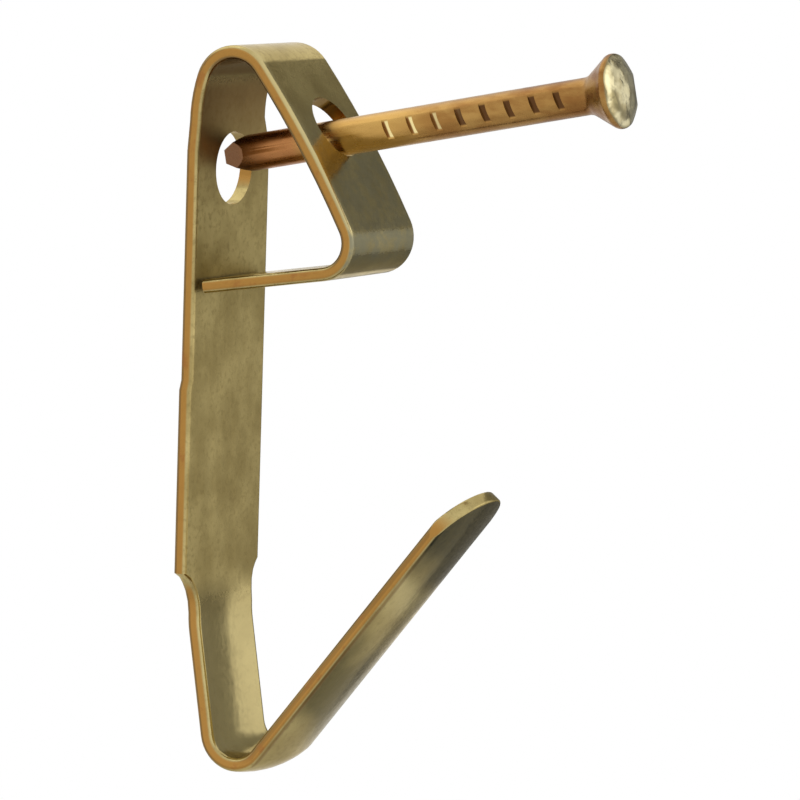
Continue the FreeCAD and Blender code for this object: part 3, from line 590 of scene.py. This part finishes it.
def floor_material():
    """Pale and matt round the object, where its shadow falls, and white further out."""
    shader = Shader("pale_floor")
    x, y, _ = shader.axes(shader.position())
    distance = shader.math("SQRT", shader.math("ADD", shader.product(x, x), shader.product(y, y)))
    far = shader.between(distance, SHADOW_REACH, WHITE_REACH)
    shader.surface.inputs["Base Color"].default_value = FLOOR_GREY
    shader.surface.inputs["Roughness"].default_value = FLOOR_ROUGHNESS
    white = shader.node("ShaderNodeEmission")
    blend = shader.node("ShaderNodeMixShader")
    shader.link(shader.product(far, seen_rays(shader.tree)), blend.inputs["Fac"])
    shader.link(shader.surface.outputs["BSDF"], blend.inputs[1])
    shader.link(white.outputs["Emission"], blend.inputs[2])
    shader.link(blend.outputs["Shader"], shader.output.inputs["Surface"])
    return shader.material


def panel(name, corners, material):
    """Flat stage piece."""
    mesh = bpy.data.meshes.new(name)
    mesh.from_pydata(corners, [], [range(len(corners))])
    made = bpy.data.objects.new(name, mesh)
    made.data.materials.append(material)
    bpy.context.scene.collection.objects.link(made)
    return made


def floor():
    low, _ = cad_box
    height = low[2] - FLOOR_DROP
    half = FLOOR_SIZE / 2
    corners = [(-half, -half, height), (half, -half, height), (half, half, height), (-half, half, height)]
    panel("floor", corners, floor_material())


def side_card():
    """Grey card for the metal to reflect; it stands out of the picture and hides nothing from other sides."""
    shader = Shader("dark_card")
    shader.surface.inputs["Base Color"].default_value = CARD_GREY
    shader.surface.inputs["Roughness"].default_value = 1.0
    corners = [Vector((CARD_DISTANCE, depth, height)) * MM for depth, height in CARD_OUTLINE]
    made = panel("side_card", corners, shader.material)
    made.visible_camera = False


def world():
    """Even white surroundings: white where they are seen, dimmer as a light."""
    made = bpy.data.worlds.new("studio")
    made.use_nodes = True
    bpy.context.scene.world = made
    tree = made.node_tree
    glow = tree.nodes["Background"]
    level = tree.nodes.new("ShaderNodeMapRange")
    tree.links.new(seen_rays(tree), level.inputs["Value"])
    level.inputs["To Min"].default_value = ROOM_LEVEL
    level.inputs["To Max"].default_value = 1.0
    tree.links.new(level.outputs["Result"], glow.inputs["Strength"])
    glow.inputs["Color"].default_value = WHITE


def lamp(name, place, size, power):
    """Square soft lamp that looks at the object."""
    light = bpy.data.lights.new(name, "AREA")
    light.shape = "SQUARE"
    light.size = size
    light.energy = power
    made = bpy.data.objects.new(name, light)
    made.location = place
    made.rotation_euler = (-place).to_track_quat("-Z", "Y").to_euler()
    bpy.context.scene.collection.objects.link(made)


# Camera: fitted to the photograph's contours

CAMERA_AZIMUTH = math.radians(-63)
CAMERA_ELEVATION = math.radians(6.5)
CAMERA_ROLL = 1.78
CAMERA_DISTANCE = 260 * MM
FOCAL_PIXELS = 4992
IMAGE_PIXELS = 800
SENSOR_WIDTH = 36.0
AIM = Vector((4.285, -8.57, -1.26)) * MM
CLIP_START = 1 * MM
CLIP_END = 10.0


def camera():
    level = math.cos(CAMERA_ELEVATION)
    towards = Vector((math.sin(CAMERA_AZIMUTH) * level, -math.cos(CAMERA_AZIMUTH) * level,
                      math.sin(CAMERA_ELEVATION)))
    level_right = Vector((0, 0, 1)).cross(towards).normalized()
    level_up = towards.cross(level_right)
    roll = math.radians(CAMERA_ROLL)
    right = level_right * math.cos(roll) + level_up * math.sin(roll)
    up = towards.cross(right)
    data = bpy.data.cameras.new("camera")
    data.sensor_width = SENSOR_WIDTH
    data.lens = SENSOR_WIDTH * FOCAL_PIXELS / IMAGE_PIXELS
    data.clip_start = CLIP_START
    data.clip_end = CLIP_END
    made = bpy.data.objects.new("camera", data)
    turn = Matrix((right, up, towards)).transposed().to_4x4()
    made.matrix_world = Matrix.Translation(AIM + towards * CAMERA_DISTANCE) @ turn
    bpy.context.scene.collection.objects.link(made)
    bpy.context.scene.camera = made


floor()
side_card()
world()
lamp("top_lamp", *TOP_LAMP)
lamp("front_lamp", *FRONT_LAMP)
camera()
bpy.context.scene.view_settings.view_transform = "Standard"
